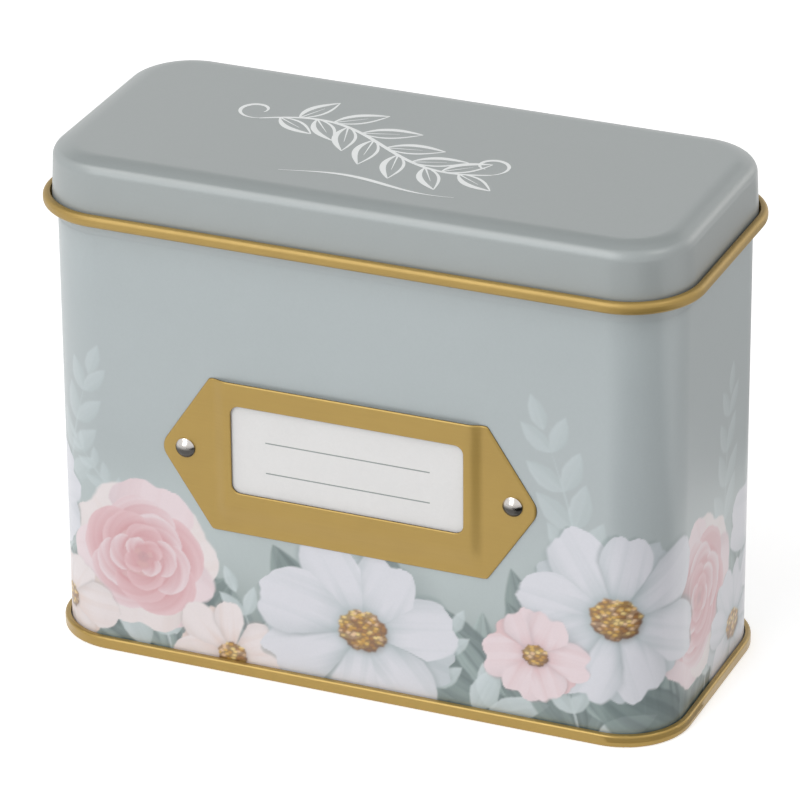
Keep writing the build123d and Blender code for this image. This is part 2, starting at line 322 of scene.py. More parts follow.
def add_colours(piece, name, values):
    """Stores one colour per point."""
    attribute = piece.data.attributes.new(name, "FLOAT_COLOR", "POINT")
    rgba = np.ones((len(values), 4), dtype=np.float32)
    rgba[:, :3] = values
    attribute.data.foreach_set("color", rgba.ravel())


# Painting


def ripple(x, seed, octaves=4):
    """Smooth noise in one dimension: a few sines with seeded phases, halved as they quicken."""
    rng = np.random.default_rng(seed)
    total = np.zeros_like(x, dtype=float)
    for octave in range(octaves):
        rate = 2.0**octave * rng.uniform(0.8, 1.25)
        total += np.sin(rate * x + rng.uniform(0, 2 * math.pi)) / 2.0**octave
    return total / 2


def mottle(x, y, seed, octaves=5):
    """Smooth noise in two dimensions: a few plane waves in seeded directions."""
    rng = np.random.default_rng(seed)
    total = np.zeros_like(x, dtype=float)
    for octave in range(octaves):
        for direction in rng.uniform(0, 2 * math.pi, 3):
            rate = 1.7**octave * rng.uniform(0.8, 1.25)
            wave = rate * (x * math.cos(direction) + y * math.sin(direction))
            total += np.sin(wave + rng.uniform(0, 2 * math.pi)) / 1.7**octave
    return total / 4


def ease(low, high, value):
    """A smooth step from 0 at low to 1 at high."""
    t = np.clip((value - low) / (high - low), 0, 1)
    return t * t * (3 - 2 * t)


def tone(*rgb):
    """A paint colour written in screen values."""
    return screen_to_linear(rgb)


def blend_tones(first, second, share):
    """A mix of two colours, by a share for each point."""
    return first + (second - first) * share[:, None]


class Print:
    """A painted band round the box: a colour at each point of distance s and height z."""

    def __init__(self, s, z, ground, length):
        self.s, self.z, self.length = s, z, length
        self.colour = np.array(ground)

    def near(self, s0, z0, reach):
        """The points within reach of a place, and their offsets from it, round the back too."""
        ds = np.mod(self.s - s0 + self.length / 2, self.length) - self.length / 2
        dz = self.z - z0
        index = np.nonzero(ds**2 + dz**2 < reach**2)[0]
        return index, ds[index], dz[index]

    def aim(self, s0, z0, angle, reach):
        """The points within reach of a place, and how far they lie along and across a heading."""
        index, ds, dz = self.near(s0, z0, reach)
        sine, cosine = math.sin(math.radians(angle)), math.cos(math.radians(angle))
        return index, ds * cosine + dz * sine, dz * cosine - ds * sine

    def lay(self, index, cover, paint):
        """Lays paint over what is there."""
        cover = np.clip(cover, 0, 1)[:, None]
        self.colour[index] = self.colour[index] * (1 - cover) + paint * cover

    def leaf(
        self, s0, z0, angle, size, width, bend, dark, light, cover, soft, seed, rib=0.0, streak=0.35
    ):
        """A leaf or a brush stroke from its foot.

        Its half width is the width times the sine of pi times the share of its length, drawn out to a
        point, and its line is bent by the square of that share. Its halves differ in tone.
        """
        index, along, across = self.aim(s0, z0, angle, size * 1.3)
        along = along / size
        inside = (along > 0) & (along < 1)
        index, along, across = index[inside], along[inside], across[inside]
        across = across - bend * along**2
        half = width * np.sin(math.pi * along**0.85) ** 0.8
        half = half * (1 + 0.05 * ripple(along * 18, seed)) + 1e-6
        side = across / half
        edge = ease(0, 1, (half - np.abs(across)) / soft)
        streaks = ripple(side * 7 + along * 1.5, seed + 1) * streak
        share = np.clip(0.5 + 0.4 * side + streaks + 0.25 * (along - 0.5), 0, 1)
        paint = blend_tones(dark, light, share)
        if rib:
            line = np.exp(-((across / (0.22 + 0.2 * (1 - along))) ** 2)) * rib * (1 - along)
            paint = blend_tones(paint, light * 1.12, line)
        self.lay(index, edge * cover, paint)

    def petal(
        self, s0, z0, angle, reach, width, tones, seed, notch=0.0, bend=0.0, cover=1.0, soft=0.5
    ):
        """A broad petal from the flower's centre.

        Its half width rises as a power of the share of its length up to a shoulder, and closes as a
        superellipse at a wavy tip that a notch may cut in. Its rim is sharp in places and lost in
        others. The tone runs from base to light, with broad streaks, and greys along one side.
        """
        base, light, shade = tones
        index, along, across = self.aim(s0, z0, angle, reach * 1.2)
        ahead = along > 0
        index, along, across = index[ahead], along[ahead] / reach, across[ahead]
        across = across - bend * reach * along**2
        side = across / width
        share = along / (1 - notch * np.exp(-((side / 0.3) ** 2)) + 0.04 * ripple(side * 3.5, seed))
        shoulder = 0.6
        rise = (np.clip(share, 0, shoulder) / shoulder) ** 0.92
        fall = np.sqrt(1 - np.clip((share - shoulder) / (1 - shoulder), 0, 1) ** 2.6)
        half = width * rise * fall * (1 + 0.05 * ripple(share * 5, seed + 1)) + 1e-6
        depth = np.minimum(half - np.abs(across), (1 - share) * reach)
        lost = soft * (1 + 2.6 * np.clip(ripple(side * 1.4 + share * 3, seed + 2, 2), 0, 1))
        edge = ease(0, 1, depth / lost)
        streak = ripple(side * 8 + share, seed + 3, 5)
        fold = ripple(side * 1.8 - share, seed + 4, 2)
        lightness = ease(-0.1, 0.62, share) + (0.34 - 0.2 * share) * streak + 0.13 * fold
        paint = blend_tones(base, light, np.clip(lightness, 0, 1))
        beside = np.clip(across / half, -1, 1)
        grey = 0.5 * ease(0.3, 1.05, beside) * (1.15 - share)
        grey = grey + 0.2 * ease(0.5, 0.1, share) * ease(0, 1, streak)
        paint = blend_tones(paint, shade, np.clip(grey, 0, 1))
        self.lay(index, edge * cover, paint)

    def crescent(self, s0, z0, radius, angle, span, thick, dark, light, cover, soft, seed):
        """A curved stroke round a centre, thickest at its middle, lighter along its outer side."""
        index, ds, dz = self.near(s0, z0, radius + thick * 2)
        turn = np.arctan2(dz, ds) - math.radians(angle)
        offset = (np.mod(turn + math.pi, 2 * math.pi) - math.pi) / math.radians(span)
        inside = np.abs(offset) < 1
        index, offset, far = index[inside], offset[inside], np.hypot(ds[inside], dz[inside])
        half = thick * np.sqrt(1 - offset**2) * (1 + 0.12 * ripple(offset * 5, seed)) + 1e-6
        off = far - radius * (1 - 0.12 * offset**2)
        edge = ease(0, 1, (half - np.abs(off)) / soft)
        share = np.clip(0.5 + 0.5 * off / half + 0.2 * ripple(offset * 4 + off * 2, seed + 1), 0, 1)
        self.lay(index, edge * cover, blend_tones(dark, light, share))

    def dab(self, s0, z0, size, paint, cover, stretch=1.0):
        """A small round or oval touch of the brush."""
        index, ds, dz = self.near(s0, z0, size * max(stretch, 1) * 1.6)
        edge = ease(0, 1, (size - np.hypot(ds / stretch, dz)) / (0.35 * size + 0.12))
        self.lay(index, edge * cover, np.broadcast_to(paint, (len(index), 3)))

    def wash(self, s0, z0, reach_s, reach_z, paint, cover, seed):
        """A soft cloud of thin paint that fades out with distance."""
        index, ds, dz = self.near(s0, z0, max(reach_s, reach_z) * 1.6)
        far = np.hypot(ds / reach_s, dz / reach_z) + 0.16 * mottle(ds * 0.16, dz * 0.16, seed, 3)
        self.lay(index, ease(1.25, 0.25, far) * cover, np.broadcast_to(paint, (len(index), 3)))


WHITE = (tone(182, 192, 196), tone(223, 223, 230), tone(146, 163, 165))
BLUSH = (tone(218, 178, 180), tone(236, 218, 222), tone(184, 164, 170))
PINK = (tone(214, 158, 163), tone(230, 196, 200), tone(200, 154, 160))
PEACH = (tone(224, 200, 190), tone(236, 226, 226), tone(188, 178, 176))
LEAF_DARK = tone(93, 108, 109)
LEAF_MID = tone(130, 146, 144)
LEAF_PALE = tone(170, 186, 184)
GHOST_LOW = tone(184, 196, 197)
GHOST = tone(212, 221, 224)
GOLDS = [
    tone(214, 172, 84), tone(194, 146, 62), tone(232, 202, 130), tone(160, 110, 52), tone(226, 190, 150)
]
UMBER = tone(112, 78, 54)


def heart(art, s0, z0, size, seed, squash):
    """The gold middle of a blossom: touches of the brush run together, browner low on the rim.

    The touches stand on a sunflower spiral. Each point mixes their tones by their nearness, and umber
    comes through where it is far from all of them.
    """
    rng = np.random.default_rng(seed)
    count = int(3.4 * size**2)
    turn = GOLDEN_ANGLE * np.arange(count) + rng.uniform(-0.4, 0.4, count)
    reach = size * np.sqrt((np.arange(count) + 0.5) / count)
    index, ds, dz = art.near(s0, z0, size * 1.6)
    ds = ds * squash
    away_s, away_z = ds[:, None] - reach * np.cos(turn), dz[:, None] - reach * np.sin(turn)
    away = np.hypot(away_s, away_z * 1.3)
    share = np.exp(-((away / 0.34) ** 2)) + 1e-9
    touches = np.array(GOLDS)[rng.integers(0, len(GOLDS), count)]
    cell = (share @ touches) / share.sum(axis=1)[:, None]
    far = np.hypot(ds, dz) / (size * (1 + 0.1 * ripple(np.arctan2(dz, ds) * 7, seed)))
    rim = ease(0.6, 1.0, far) * ease(0.35, -0.6, dz / size - 0.3 * ds / size)
    gold = ease(0.62, 0.28, away.min(axis=1)) * (1 - 0.75 * rim)
    art.dab(s0 + 0.1 * size, z0 - 0.14 * size, size * 1.12, UMBER, 0.4, 1 / squash)
    art.lay(index, ease(1.05, 0.93, far), blend_tones(UMBER, cell, 0.35 + 0.65 * gold - 0.35 * rim))


def blossom(art, s0, z0, reach, turn, seed, tones, petals):
    """An open blossom over its own shade: a greyer back round, then parted petals of uneven width."""
    rng, squash, centre = np.random.default_rng(seed), 0.86, 0.2
    shadow = (tones[2] * 0.78,) * 3
    behind = (tones[2], 0.65 * tones[0] + 0.35 * tones[1], tones[2] * 0.9)
    art.wash(s0, z0, reach * 0.8, reach * 0.72, LEAF_DARK * 1.1, 0.85, seed)
    for layer, count, paints in ((1, petals - 2, behind), (0, petals, tones)):
        for step in rng.permutation(petals)[:count]:
            angle = turn + 360 / petals * (step + 0.5 * layer) + rng.uniform(-6, 6)
            lean = math.radians(angle)
            long = reach * rng.uniform(0.9, 1.06) * math.hypot(math.cos(lean), squash * math.sin(lean))
            long *= 1 - 0.08 * layer
            wide = long * math.tan(math.pi / petals) * rng.uniform(0.6, 0.82)
            bend, notch = rng.uniform(-0.14, 0.14), rng.uniform(0, 0.1)
            part = seed * 37 + int(step) + 11 * layer
            art.petal(s0, z0, angle + 3, long * 1.02, wide * 1.08, shadow, part, notch, bend, 0.5, 1.3)
            art.petal(s0, z0, angle, long, wide, paints, part, notch, bend, 1.0, 0.38)
    art.dab(s0, z0, reach * centre * 1.4, tones[2], 0.4, 1 / squash)
    heart(art, s0, z0, reach * centre, seed + 900, squash)


def camellia(art, s0, z0, reach, turn, seed):
    """A full double bloom: pale outer petals, then rounds of curved strokes closing on a pink heart."""
    rng = np.random.default_rng(seed)
    for step in rng.permutation(6):
        angle, tones = turn + 60 * step + rng.uniform(-8, 8), BLUSH if step % 2 else PEACH
        long, wide = reach * rng.uniform(0.94, 1.04), reach * 0.56
        art.petal(s0, z0, angle, long, wide, tones, seed + int(step), 0.05)
    art.dab(s0, z0, reach * 0.68, PINK[0], 0.7)
    for ring, (far, thick) in enumerate(((0.66, 0.15), (0.5, 0.13), (0.35, 0.1), (0.2, 0.08))):
        count = 5 - ring // 2
        for step in range(count):
            angle = turn + 34 * ring + 360 / count * step + rng.uniform(-8, 8)
            pale, part = BLUSH[1] if (step + ring) % 2 else PINK[1], seed + 10 * ring + step
            art.crescent(
                s0, z0, reach * far, angle, 48, reach * thick, PINK[0], pale, 0.95, 0.35, part
            )
    art.dab(s0, z0, reach * 0.09, PINK[2], 0.6)


def frond(art, s0, z0, size, angle, bend, pairs, cover, seed, blade=0.3):
    """A bent stem with round-shouldered leaves in pairs, and one at its tip."""
    dark, light, broad = GHOST_LOW, GHOST, 0.25
    turn = math.radians(angle)
    art.leaf(s0, z0, angle, size, 0.6, bend, dark, light, cover, 0.6, seed)
    for step in range(1, pairs + 2):
        share = min(step / (pairs + 0.7), 0.97)
        lift = bend * share**2
        foot_s = s0 + size * share * math.cos(turn) - lift * math.sin(turn)
        foot_z = z0 + size * share * math.sin(turn) + lift * math.cos(turn)
        heading = angle + math.degrees(math.atan2(2 * bend * share, size))
        long = size * blade * (1.1 - 0.4 * share)
        for side in (-1, 1) if step <= pairs else (0,):
            spread = 36 + 10 * ripple(np.array([step * 1.7 + side]), seed)[0]
            art.leaf(
                foot_s, foot_z, heading + side * spread, long, long * broad, side * long * -0.06,
                dark, light, cover, 0.7, seed + 3 * step + side, 0.2, 0.12,
            )


def foliage(art, s0, seed):
    """One repeat of the lower border: broad dark strokes, then mid leaves, then pale ones."""
    rng = np.random.default_rng(seed)
    layers = (
        (7, (-4, 5), (24, 38), (0.17, 0.24), LEAF_DARK, LEAF_MID, 0.85, 0.8, 0.5),
        (3, (-3, 10), (15, 26), (0.16, 0.24), LEAF_DARK * 1.05, LEAF_PALE, 0.7, 0.8, 0.4),
        (3, (-2, 14), (11, 17), (0.2, 0.27), GHOST_LOW, GHOST, 0.85, 0.5, 0.15),
    )
    for count, heights, sizes_range, widths, dark, light, cover, soft, streak in layers:
        for _ in range(count):
            size = rng.uniform(*sizes_range)
            art.leaf(
                s0 + rng.uniform(-16, 16), rng.uniform(*heights), rng.uniform(25, 155), size,
                size * rng.uniform(*widths), rng.uniform(-4, 4), dark, light, cover, soft,
                int(rng.integers(1e6)), 0.25, streak,
            )


def paint_border(art):
    """The whole printed border, from the far layers to the near ones."""
    for step, s0 in enumerate(np.arange(0, art.length, 24)):
        art.wash(s0, 0, 22, 22, LEAF_DARK * 1.12, 0.62, step)
        art.wash(s0 + 12, 34, 20, 16, tone(196, 206, 207), 0.35, step + 60)
    stems = [
        (55, 32, 42, 98, 5), (-70, 30, 38, 82, -4), (104, 30, 38, 94, -5), (-52, 32, 22, 120, 3),
        (-150, 30, 42, 95, 5), (165, 30, 40, 86, -4), (-108, 28, 38, 84, 4),
    ]
    for seed, (s0, z0, size, angle, bend) in enumerate(stems):
        frond(art, s0, z0, size, angle, bend, 4, 0.5, 11 + seed)
    for step, s0 in enumerate(np.arange(-8, art.length - 20, 26)):
        foliage(art, s0, 400 + step)
    for step, s0 in enumerate(np.arange(-20, art.length - 30, 37)):
        frond(art, s0, -3, 24, 100 - 20 * (step % 2), 3 * (-1) ** step, 2, 0.85, 800 + step, 0.42)
    camellias = [(-49, 24, 18.5, 20), (88, 27, 20, 50), (178, 24, 20, 0), (-128, 24, 20, 35)]
    blossoms = [
        (-70, 9, 14, 5, PEACH), (-28, 4, 15, 40, PEACH), (3, 16, 25, 8, WHITE),
        (61, 30, 25, 30, WHITE), (43, 18, 13, 0, BLUSH), (110, 10, 17, 60, WHITE),
        (132, 30, 24, 15, WHITE), (152, 12, 15, 70, PEACH), (200, 10, 15, 20, BLUSH),
        (-176, 30, 22, 45, WHITE), (-152, 8, 16, 12, PEACH), (-102, 12, 18, 66, WHITE),
        (-84, 34, 20, 30, WHITE),
    ]
    for seed, (s0, z0, reach, turn) in enumerate(camellias):
        camellia(art, s0, z0, reach, turn, 300 + 40 * seed)
    for seed, (s0, z0, reach, turn, tones) in enumerate(blossoms):
        blossom(art, s0, z0, reach, turn, 70 + seed, tones, 6 + seed % 2 + (reach > 22))


def ground_colour(s, z, ink):
    """The unpainted ground: it greens a little towards the foot and is unevenly rolled on."""
    drift = 0.5 + 0.5 * mottle(s * 0.05, z * 0.05, 3, 3)
    share = np.clip(ease(62, 4, z) * 0.85 + 0.12 * drift, 0, 1)
    return blend_tones(np.broadcast_to(ink["wall"], (len(s), 3)), ink["wall_low"], share)


# Materials


def feed(node, inputs):
    """Links sockets to a node's inputs, or sets constants directly on them."""
    for key, value in inputs.items():
        socket = node.inputs[key]
        if isinstance(value, bpy.types.NodeSocket):
            node.id_data.links.new(value, socket)
        elif socket.type == "RGBA":
            socket.default_value = (*(float(part) for part in value), 1.0)
        else:
            socket.default_value = value
    return node


def add_node(tree, kind, inputs, **settings):
    """Adds a node, sets its properties and feeds its inputs."""
    node = tree.nodes.new("ShaderNode" + kind)
    for key, value in settings.items():
        setattr(node, key, value)
    return feed(node, inputs)


def add_math(tree, operation, *values, clamp=False):
    """The result of a calculation with sockets and constants."""
    inputs = dict(enumerate(values))
    return add_node(tree, "Math", inputs, operation=operation, use_clamp=clamp).outputs[0]


def add_noise(tree, place, scale, detail, distortion=0.0):
    """The value of a noise at a place."""
    inputs = {"Vector": place, "Scale": scale, "Detail": detail, "Distortion": distortion}
    return add_node(tree, "TexNoise", inputs).outputs[0]


def add_bump(tree, height, depth):
    """The normal of a surface with a height that is depth metres at most."""
    return add_node(tree, "Bump", {"Height": height, "Strength": 1.0, "Distance": depth}).outputs[0]


def mix_colour(tree, share, first, second):
    """A colour mix whose inputs are sockets or plain colours."""
    return add_node(tree, "Mix", {0: share, 6: first, 7: second}, data_type="RGBA").outputs[2]


def node_group(name, inputs, outputs):
    """A new node group with its sockets: the group, its inputs by name, and its end node."""
    group = bpy.data.node_groups.new(name, "ShaderNodeTree")
    for way, labels in (("INPUT", inputs), ("OUTPUT", outputs)):
        for label in labels:
            kind = "Vector" if label in ("Vector", "Core") else "Color" if "Color" in label else "Float"
            group.interface.new_socket(label, in_out=way, socket_type="NodeSocket" + kind)
    given = group.nodes.new("NodeGroupInput").outputs
    return group, given, group.nodes.new("NodeGroupOutput")


def vary_tone(group, given, first, second, strength):
    """The colour given to a group, lightened and darkened as two noises leave their middle."""
    swing = add_math(group, "SUBTRACT", add_math(group, "ADD", first, second), 1.0)
    swing = add_math(group, "MULTIPLY", swing, given["Amount"])
    level = add_math(group, "MULTIPLY_ADD", swing, strength, 1.0)
    inputs = {0: given["Color"], "Scale": level}
    return add_node(group, "VectorMath", inputs, operation="SCALE").outputs[0]


def make_ink_grain():
    """Fine unevenness of ink and lacquer: a mottled tone, a roughness and an orange-peel height."""
    group, given, end = node_group(
        "Ink grain", ("Color", "Vector", "Amount", "Roughness"), ("Color", "Roughness", "Height")
    )
    place = given["Vector"]
    fine, broad = add_noise(group, place, 1900.0, 3.0), add_noise(group, place, 55.0, 4.0)
    feed(end, {
        "Color": vary_tone(group, given, fine, broad, 0.16),
        "Roughness": add_math(group, "MULTIPLY_ADD", broad, 0.06, given["Roughness"]),
        "Height": add_noise(group, place, 420.0, 2.0),
    })
    return group


def make_metal_wear():
    """Gold lacquer or plating: streaks along the strip, darker patches and small pits."""
    group, given, end = node_group(
        "Metal wear", ("Color", "Worn Color", "Vector", "Wear", "Roughness"),
        ("Color", "Roughness", "Height"),
    )
    place = given["Vector"]
    patch = add_noise(group, place, 140.0, 5.0)
    strip = add_node(group, "Mapping", {"Vector": place, "Scale": (60.0, 60.0, 2200.0)}).outputs[0]
    joined = add_math(group, "MULTIPLY", patch, add_noise(group, strip, 1.0, 3.0))
    share = add_math(group, "MULTIPLY", joined, given["Wear"], clamp=True)
    feed(end, {
        "Color": mix_colour(group, share, given["Color"], given["Worn Color"]),
        "Roughness": add_math(group, "MULTIPLY_ADD", patch, 0.1, given["Roughness"]),
        "Height": add_noise(group, place, 1500.0, 2.0),
    })
    return group


def make_paper_fibre():
    """Paper or board: matted fibres and faint clouds."""
    group, given, end = node_group("Paper fibre", ("Color", "Vector", "Amount"), ("Color", "Height"))
    fibre = add_noise(group, given["Vector"], 900.0, 6.0, 1.2)
    cloud = add_noise(group, given["Vector"], 70.0, 3.0)
    feed(end, {"Color": vary_tone(group, given, fibre, cloud, 0.12), "Height": fibre})
    return group


def make_wall_side():
    """Tells the outside of an upright wall with round corners from its inside: 1 outside, 0 inside."""
    group, given, end = node_group("Wall side", ("Vector", "Core", "Middle"), ("Outside",))
    none, level = (0.0, 0.0, 0.0), (1.0, 1.0, 0.0)
    steps = (("ABSOLUTE", none), ("SUBTRACT", given["Core"]), ("MULTIPLY", level), ("MAXIMUM", none))
    beyond = given["Vector"]
    for operation, second in steps:
        beyond = add_node(group, "VectorMath", {0: beyond, 1: second}, operation=operation).outputs[0]
    reach = add_node(group, "VectorMath", {0: beyond}, operation="LENGTH").outputs["Value"]
    feed(end, {"Outside": add_math(group, "GREATER_THAN", reach, given["Middle"])})
    return group


GROUPS = {
    "Ink grain": make_ink_grain,
    "Metal wear": make_metal_wear,
    "Paper fibre": make_paper_fibre,
    "Wall side": make_wall_side,
}


def use_group(tree, name, inputs):
    """The outputs of a shared node group, which is made the first time it is asked for."""
    node_tree = bpy.data.node_groups.get(name) or GROUPS[name]()
    return add_node(tree, "Group", inputs, node_tree=node_tree).outputs


def worn_metal(tree, place, base, worn, wear, roughness):
    """The outputs of the metal wear group."""
    inputs = {"Vector": place, "Color": base, "Worn Color": worn, "Wear": wear, "Roughness": roughness}
    return use_group(tree, "Metal wear", inputs)


def read_values(tree, name):
    """One number per point, or per part of it between the points."""
    return add_node(tree, "Attribute", {}, attribute_name=name).outputs["Fac"]


def new_material(name):
    """A material with its tree emptied to a Principled BSDF and its output."""
    material = bpy.data.materials.new(name)
    material.use_nodes = True
    tree = material.node_tree
    tree.nodes.clear()
    shader = add_node(tree, "BsdfPrincipled", {})
    add_node(tree, "OutputMaterial", {0: shader.outputs[0]})
    return material, tree, shader, add_node(tree, "TexCoord", {}).outputs["Object"]


def dress(shader, layer, relief, inputs):
    """Gives a shader the colour, roughness and relief in metres of a layer, and its own inputs."""
    bump = add_bump(shader.id_data, layer["Height"], relief)
    feed(shader, {"Base Color": layer["Color"], "Roughness": layer["Roughness"], "Normal": bump})
    feed(shader, inputs)


def lacquered_print(name):
    """Printed tinplate under a satin lacquer. The print is a colour per point, paint."""
    material, tree, shader, place = new_material(name)
    paint = add_node(tree, "Attribute", {}, attribute_name="paint").outputs["Color"]
    inputs = {"Vector": place, "Color": paint, "Amount": 0.35, "Roughness": 0.3}
    grain = use_group(tree, "Ink grain", inputs)
    dress(shader, grain, INK_RELIEF, {"IOR": 1.7, "Coat Weight": 0.15, "Coat Roughness": 0.2})
    return material


def gold_lacquer(name, ink, roughness=0.3, wear=0.5):
    """Gold lacquer on bright tinplate, near black where a point's value marks a cut edge: partly the
    edge's own darkness and partly painted shade for the shadowed gap behind it.
    """
    material, tree, shader, place = new_material(name)
    gold = worn_metal(tree, place, ink["gold"], ink["gold_dark"], wear, roughness)
    # painted shade: the marked edges take a near-black share (0.12) of the dark gold
    cut = mix_colour(tree, read_values(tree, "cut_edge_shade"), gold["Color"], ink["gold_dark"] * 0.12)
    coat = {"Metallic": 0.6, "Coat Weight": 0.35, "Coat Roughness": 0.22}
    dress(shader, gold, 0.000006, {"Base Color": cut, **coat})
    return material


def drawn_wire(name, base):
    """Bare drawn steel, a little dulled."""
    material, tree, shader, place = new_material(name)
    steel = worn_metal(tree, place, base, base * 0.6, 0.35, 0.25)
    dress(shader, steel, 0.000003, {"Metallic": 1.0})
    return material


def plated_dome_painted_shade(name, base, middle, reach):
    """Plating on small domes at one height, with painted shade: bright on the crown, and painted dark
    below the domes' middle height in place of the dark reflection there.
    """
    material, tree, shader, place = new_material(name)
    # painted shade: the plating's colour falls to a tenth of itself below the rivets' middle height
    height = add_node(tree, "SeparateXYZ", {"Vector": place}).outputs["Z"]
    inputs = {"Value": height, "From Min": middle - reach * 0.1, "From Max": middle + reach * 0.55}
    crown = add_node(tree, "MapRange", inputs, interpolation_type="SMOOTHSTEP").outputs["Result"]
    shaded_plating = mix_colour(tree, crown, base * 0.1, base)
    nickel = worn_metal(tree, place, shaded_plating, base * 0.5, 0.2, 0.16)
    feed(shader, {"Base Color": nickel["Color"], "Roughness": nickel["Roughness"], "Metallic": 1.0})
    return material


def paper(name, base, amount=0.5, roughness=0.85, relief=0.00002):
    """Uncoated paper or board, or ink on it."""
    material, tree, shader, place = new_material(name)
    fibre = use_group(tree, "Paper fibre", {"Vector": place, "Color": base, "Amount": amount})
    feed(shader, {"Base Color": fibre["Color"], "Roughness": roughness})
    if relief:
        feed(shader, {"Normal": add_bump(tree, fibre["Height"], relief)})
    return material


def opaque_ink(name, base):
    """Ink laid flat by a brush or a rule, a little uneven in tone."""
    return paper(name, base, amount=0.25, roughness=0.5, relief=0.0)


def wall_track(size):
    """What the wall side group needs to know of the body's wall, in metres."""
    radius = size["corner_radius"] * MM
    core = (size["body_width"] * MM / 2 - radius, size["body_depth"] * MM / 2 - radius, 0.0)
    return {"Core": core, "Middle": radius - size["sheet"] * MM / 2}


def printed_sheet(name, ink, base, wall=None, roughness=0.27):
    """Tinplate that is printed outside and gold inside.

    The side is read from the place if a wall is given, or else from the piece's value, printed.
    """
    material, tree, shader, place = new_material(name)
    if wall:
        side = use_group(tree, "Wall side", {"Vector": place, **wall})["Outside"]
    else:
        side = read_values(tree, "printed")
    inputs = {"Vector": place, "Color": base, "Amount": 0.35, "Roughness": roughness}
    grain = use_group(tree, "Ink grain", inputs)
    gold = worn_metal(tree, place, ink["gold"], ink["gold_dark"], 0.5, 0.42)
    rough = add_node(tree, "Mix", {0: side, 2: gold["Roughness"], 3: grain["Roughness"]}).outputs[0]
    dress(shader, grain, INK_RELIEF, {
        "Base Color": mix_colour(tree, side, gold["Color"], grain["Color"]), "Roughness": rough,
        "Metallic": add_math(tree, "MULTIPLY_ADD", side, -0.55, 0.55), "IOR": 1.75,
        "Coat Weight": 0.1, "Coat Roughness": 0.2,
    })
    return material


def set_material(node, material):
    """Gives a node of the frame one material."""
    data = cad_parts[node].data
    data.materials.clear()
    data.materials.append(material)


# Stage


def seen_by(tree, *rays):
    """1 for rays of these kinds and 0 for others."""
    path, seen = add_node(tree, "LightPath", {}).outputs, 0.0
    for ray in rays:
        seen = add_math(tree, "MAXIMUM", seen, path[f"Is {ray} Ray"])
    return seen


def make_quad(scene, name, place, turn, halves, material):
    """A rectangle of the stage, by the two halves of its extent."""
    corners = [(-1, -1), (1, -1), (1, 1), (-1, 1)]
    corners = [turn @ Vector((x * halves[0], y * halves[1], 0)) + Vector(place) for x, y in corners]
    mesh = bpy.data.meshes.new(name)
    mesh.from_pydata(corners, [], [(0, 1, 2, 3)])
    mesh.materials.append(material)
    quad = bpy.data.objects.new(name, mesh)
    scene.collection.objects.link(quad)
    return quad


# Operators


class CARDTIN_OT_body(bpy.types.Operator):
    """Finish the body wall and lay its print round it"""

    bl_idname = "cardtin.body"
    bl_label = "Body and print"

    def execute(self, context):
        size, ink = sizes(), colours()
        track = WallTrack(size)
        set_material("body_wall", printed_sheet("body_lacquer", ink, ink["wall"], wall_track(size)))
        material = lacquered_print("floral_print")
        past_corner = 2.0
        front = track.flat_x + track.arc + past_corner
        back = front + 2 * track.flat_y - 2 * past_corner
        panels = {
            "print_front_left": (-front, 0, 0.74),
            "print_front_right": (0, front, 0.74),
            "print_right": (front, back, 0.95),
            "print_back": (back, track.length - back, 1.3),
            "print_left": (track.length - back, track.length - front, 1.3),
        }
        for name, (start, end, coarse) in panels.items():
            step = size["print_step"] * coarse
            s = np.linspace(start, end, int((end - start) / step))
            low = np.arange(size["print_foot"], size["dense_top"], step)
            z = np.concatenate([low, np.linspace(size["dense_top"], size["print_top"], 8)])
            s, z = np.meshgrid(s, z, indexing="ij")
            ground = ground_colour(s.ravel(), z.ravel(), ink)
            art = Print(s.ravel(), z.ravel(), ground, track.length)
            paint_border(art)
            points = track.at(s, z, size["print_lift"])
            piece = make_piece(name, points, grid_faces(*s.shape), "tin", material)
            add_colours(piece, "paint", art.colour)
        return {"FINISHED"}


